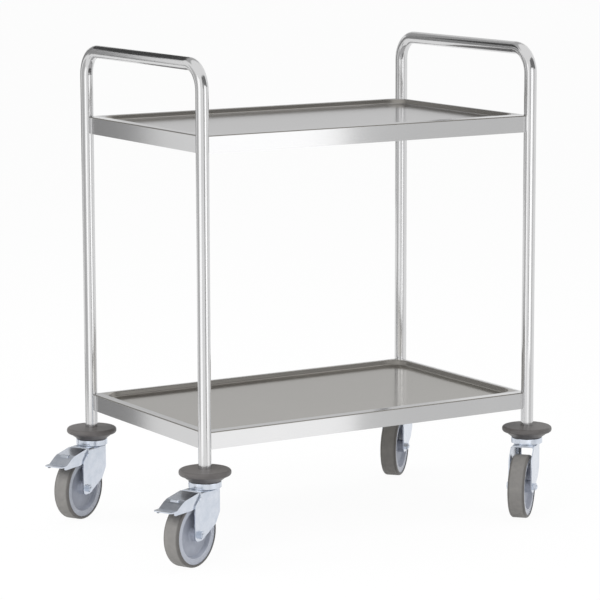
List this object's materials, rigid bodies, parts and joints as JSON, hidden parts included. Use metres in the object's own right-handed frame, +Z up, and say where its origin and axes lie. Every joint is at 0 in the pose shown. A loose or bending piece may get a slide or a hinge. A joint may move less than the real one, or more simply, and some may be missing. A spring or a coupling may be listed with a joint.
{
  "type": "two-tier serving cart",
  "caption": "Serving cart of bent steel tube with sunken sheet shelves, a handle bar at each end, round bumper discs and swivel casters, some with foot brakes.",
  "frame": {"origin": "on the floor, midway between the four posts", "axes": "+X along the shelves to the right, away from the end with the brakes; +Y from front to back; +Z up"},
  "size_m": [0.9318, 0.5973, 0.95],
  "materials": {
    "frame_tube": "satin stainless tube",
    "shelf_sheet": "satin stainless sheet",
    "insert_plastic": "moulded",
    "bumper_plastic": "grey moulded, slightly satin",
    "zinc_steel": "bright zinc plated",
    "ball_steel": "polished",
    "wheel_plastic": "moulded",
    "tyre_rubber": "grey non-marking rubber",
    "shoe_plastic": "moulded"
  },
  "bodies": {
    "frame": {"frame_left": "frame_tube", "frame_right": "frame_tube", "upper_shelf": "shelf_sheet", "lower_shelf": "shelf_sheet", "leg_inserts": "insert_plastic", "front_left_bumper": "bumper_plastic", "front_left_swivel_head": "zinc_steel", "front_left_stem": "zinc_steel", "front_right_bumper": "bumper_plastic", "front_right_swivel_head": "zinc_steel", "front_right_stem": "zinc_steel", "back_left_bumper": "bumper_plastic", "back_left_swivel_head": "zinc_steel", "back_left_stem": "zinc_steel", "back_right_bumper": "bumper_plastic", "back_right_swivel_head": "zinc_steel", "back_right_stem": "zinc_steel"},
    "front_left_caster": {"front_left_fork": "zinc_steel", "front_left_ball_ring": "ball_steel", "front_left_axle_sleeve": "zinc_steel", "front_left_axle_bolt": "zinc_steel", "front_left_axle_nut": "zinc_steel", "front_left_pedal_pin": "zinc_steel"},
    "front_left_wheel": {"front_left_wheel_centre": "wheel_plastic", "front_left_tyre": "tyre_rubber"},
    "front_left_brake": {"front_left_brake_pedal": "zinc_steel", "front_left_brake_shoe": "shoe_plastic"},
    "front_right_caster": {"front_right_fork": "zinc_steel", "front_right_ball_ring": "ball_steel", "front_right_axle_sleeve": "zinc_steel", "front_right_axle_bolt": "zinc_steel", "front_right_axle_nut": "zinc_steel"},
    "front_right_wheel": {"front_right_wheel_centre": "wheel_plastic", "front_right_tyre": "tyre_rubber"},
    "back_left_caster": {"back_left_fork": "zinc_steel", "back_left_ball_ring": "ball_steel", "back_left_axle_sleeve": "zinc_steel", "back_left_axle_bolt": "zinc_steel", "back_left_axle_nut": "zinc_steel", "back_left_pedal_pin": "zinc_steel"},
    "back_left_wheel": {"back_left_wheel_centre": "wheel_plastic", "back_left_tyre": "tyre_rubber"},
    "back_left_brake": {"back_left_brake_pedal": "zinc_steel", "back_left_brake_shoe": "shoe_plastic"},
    "back_right_caster": {"back_right_fork": "zinc_steel", "back_right_ball_ring": "ball_steel", "back_right_axle_sleeve": "zinc_steel", "back_right_axle_bolt": "zinc_steel", "back_right_axle_nut": "zinc_steel"},
    "back_right_wheel": {"back_right_wheel_centre": "wheel_plastic", "back_right_tyre": "tyre_rubber"}
  },
  "joints": [
    {"name": "front_left_swivel", "type": "hinge", "parent": "frame", "child": "front_left_caster", "pos_m": [-0.375, -0.23, 0.142], "axis": [0, 0, 1], "continuous": true},
    {"name": "front_left_roll", "type": "hinge", "parent": "front_left_caster", "child": "front_left_wheel", "pos_m": [-0.42046, -0.25081, 0.0635], "axis": [0.4163, -0.9092, 0], "continuous": true},
    {"name": "front_left_brake_press", "type": "hinge", "parent": "front_left_caster", "child": "front_left_brake", "pos_m": [-0.41864, -0.24998, 0.131], "axis": [0.4163, -0.9092, 0], "range_deg": [0, 7.5]},
    {"name": "front_right_swivel", "type": "hinge", "parent": "frame", "child": "front_right_caster", "pos_m": [0.375, -0.23, 0.142], "axis": [0, 0, 1], "continuous": true},
    {"name": "front_right_roll", "type": "hinge", "parent": "front_right_caster", "child": "front_right_wheel", "pos_m": [0.3382, -0.26384, 0.0635], "axis": [0.6769, -0.7361, 0], "continuous": true},
    {"name": "back_left_swivel", "type": "hinge", "parent": "frame", "child": "back_left_caster", "pos_m": [-0.375, 0.23, 0.142], "axis": [0, 0, 1], "continuous": true},
    {"name": "back_left_roll", "type": "hinge", "parent": "back_left_caster", "child": "back_left_wheel", "pos_m": [-0.41907, 0.20637, 0.0635], "axis": [0.4726, -0.8813, 0], "continuous": true},
    {"name": "back_left_brake_press", "type": "hinge", "parent": "back_left_caster", "child": "back_left_brake", "pos_m": [-0.4173, 0.20732, 0.131], "axis": [0.4726, -0.8813, 0], "range_deg": [0, 7.5]},
    {"name": "back_right_swivel", "type": "hinge", "parent": "frame", "child": "back_right_caster", "pos_m": [0.375, 0.23, 0.142], "axis": [0, 0, 1], "continuous": true},
    {"name": "back_right_roll", "type": "hinge", "parent": "back_right_caster", "child": "back_right_wheel", "pos_m": [0.3382, 0.19616, 0.0635], "axis": [0.6769, -0.7361, 0], "continuous": true}
  ]
}
